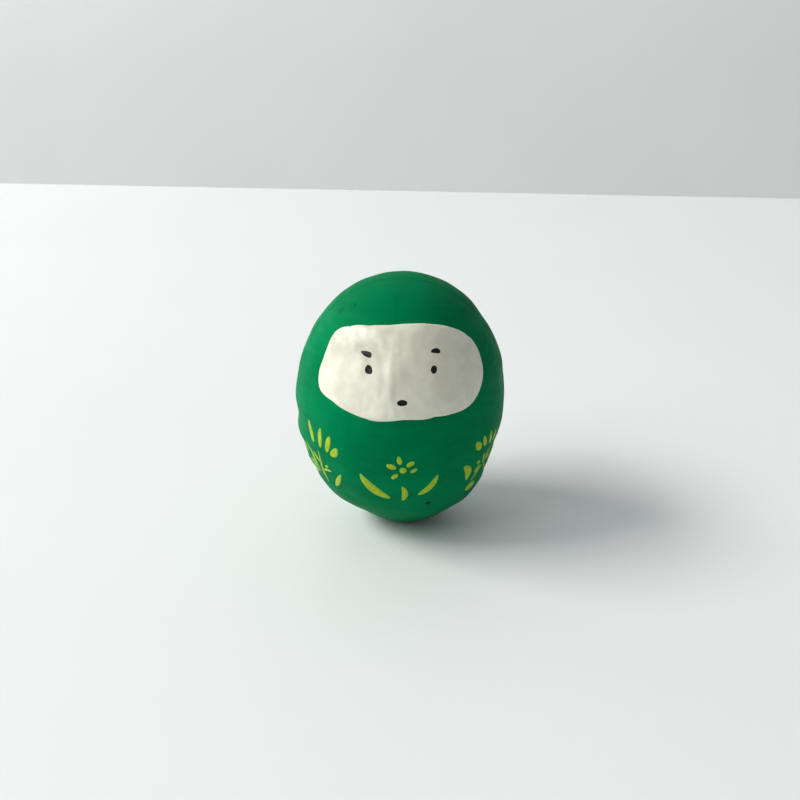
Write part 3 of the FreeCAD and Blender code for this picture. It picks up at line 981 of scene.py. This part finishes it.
# %% Set the stage
def stage_plane(name, size, material, move, turn=Matrix.Identity(4)):
    """A flat sheet as wide and deep as size, then turned and moved."""
    bm = bmesh.new()
    bmesh.ops.create_grid(bm, x_segments=1, y_segments=1, size=0.5)
    bmesh.ops.scale(bm, vec=(size[0], size[1], 1), verts=bm.verts)
    bmesh.ops.transform(bm, matrix=Matrix.Translation(move) @ turn, verts=bm.verts)
    mesh = bpy.data.meshes.new(name)
    bm.to_mesh(mesh)
    bm.free()
    sheet = bpy.data.objects.new(name, mesh)
    bpy.context.scene.collection.objects.link(sheet)
    mesh.materials.append(material)


def stage_material(name, pale, deep, rough, **shader_values):
    material, tree, shader, place = new_material(
        name, Roughness=rough, **shader_values
    )
    cloud = use_group(tree, blotch_group, place, Per_metre=3.0)["Mask"]
    tree.links.new(mixed(tree, cloud, pale, deep), shader.inputs["Base Color"])
    return material


table_paint = stage_material(
    "table_paint", linear(229, 232, 232), linear(227, 231, 230), 0.5
)
wall_paint = stage_material(
    "wall_paint", linear(226, 227, 226), linear(222, 224, 223), 0.9,
    Emission_Color=(0.97, 1.0, 0.99, 1), Emission_Strength=0.20,
)
SLANT = Matrix.Rotation(math.radians(-5.5), 4, "Z")
UPRIGHT = Matrix.Rotation(math.radians(90), 4, "X")
TABLE_END, TABLE_DEPTH = 0.53, 3.0
stage_plane(
    "table", (6.0, TABLE_DEPTH), table_paint,
    SLANT @ Vector((0, TABLE_END - TABLE_DEPTH / 2, 0)), SLANT,
)
stage_plane("wall", (9.0, 5.0), wall_paint, (0, 1.6, 0.2), UPRIGHT)

# %% [markdown]
# ## Light
# Daylight falls through a wide window on the left, high enough to put the
# shadow on the table at the right. A weaker window further forward and the
# pale room fill the rest. Two large area lamps and an even sky of low strength
# do the same.

# %% Hang the lamps
LAMP_AIM = Vector((0, 0, 0.04))


def area_lamp(name, azimuth, elevation, distance, width, height, power, colour):
    """An area lamp that faces the doll from an azimuth, 0 in front."""
    data = bpy.data.lights.new(name, "AREA")
    data.shape = "RECTANGLE"
    data.size, data.size_y = width, height
    data.energy, data.color = power, colour
    lamp = bpy.data.objects.new(name, data)
    a, e = math.radians(azimuth), math.radians(elevation)
    lamp.location = distance * Vector(
        (math.sin(a) * math.cos(e), -math.cos(a) * math.cos(e), math.sin(e))
    ) + LAMP_AIM
    aim = (LAMP_AIM - lamp.location).to_track_quat("-Z", "Y")
    lamp.rotation_euler = aim.to_euler()
    bpy.context.scene.collection.objects.link(lamp)
    print(name, "lamp:", power, "W")


area_lamp("window", -92, 40, 3.2, 1.9, 1.0, 98.0, (1.0, 0.985, 0.955))
area_lamp("front_window", -58, 35, 3.2, 1.7, 1.3, 24.0, (0.96, 0.98, 1.0))

world = bpy.data.worlds.new("room")
bpy.context.scene.world = world
world.use_nodes = True
world.node_tree.nodes["Background"].inputs["Color"].default_value = (0.92, 0.97, 1.0, 1)
world.node_tree.nodes["Background"].inputs["Strength"].default_value = 0.258
bpy.context.scene.view_settings.view_transform = "Standard"

# %% [markdown]
# ## Camera
# The doll is seen from 22 degrees above, straight on, from a forearm's length,
# through a lens that doesn't widen it.

# %% Place the camera
PITCH = math.radians(22)
REACH = 0.355
camera_data = bpy.data.cameras.new("camera")
camera_data.lens, camera_data.sensor_width = 50, 36
camera = bpy.data.objects.new("camera", camera_data)
middle = Vector((0, 0, TOP * MM / 2))
up = Vector((0, math.sin(PITCH), math.cos(PITCH)))
aim_at = middle - up * 0.0006 - Vector((0.00022, 0, 0))
camera.location = aim_at + REACH * Vector((0, -math.cos(PITCH), math.sin(PITCH)))
camera.rotation_euler = (aim_at - camera.location).to_track_quat("-Z", "Y").to_euler()
bpy.context.scene.collection.objects.link(camera)
bpy.context.scene.camera = camera
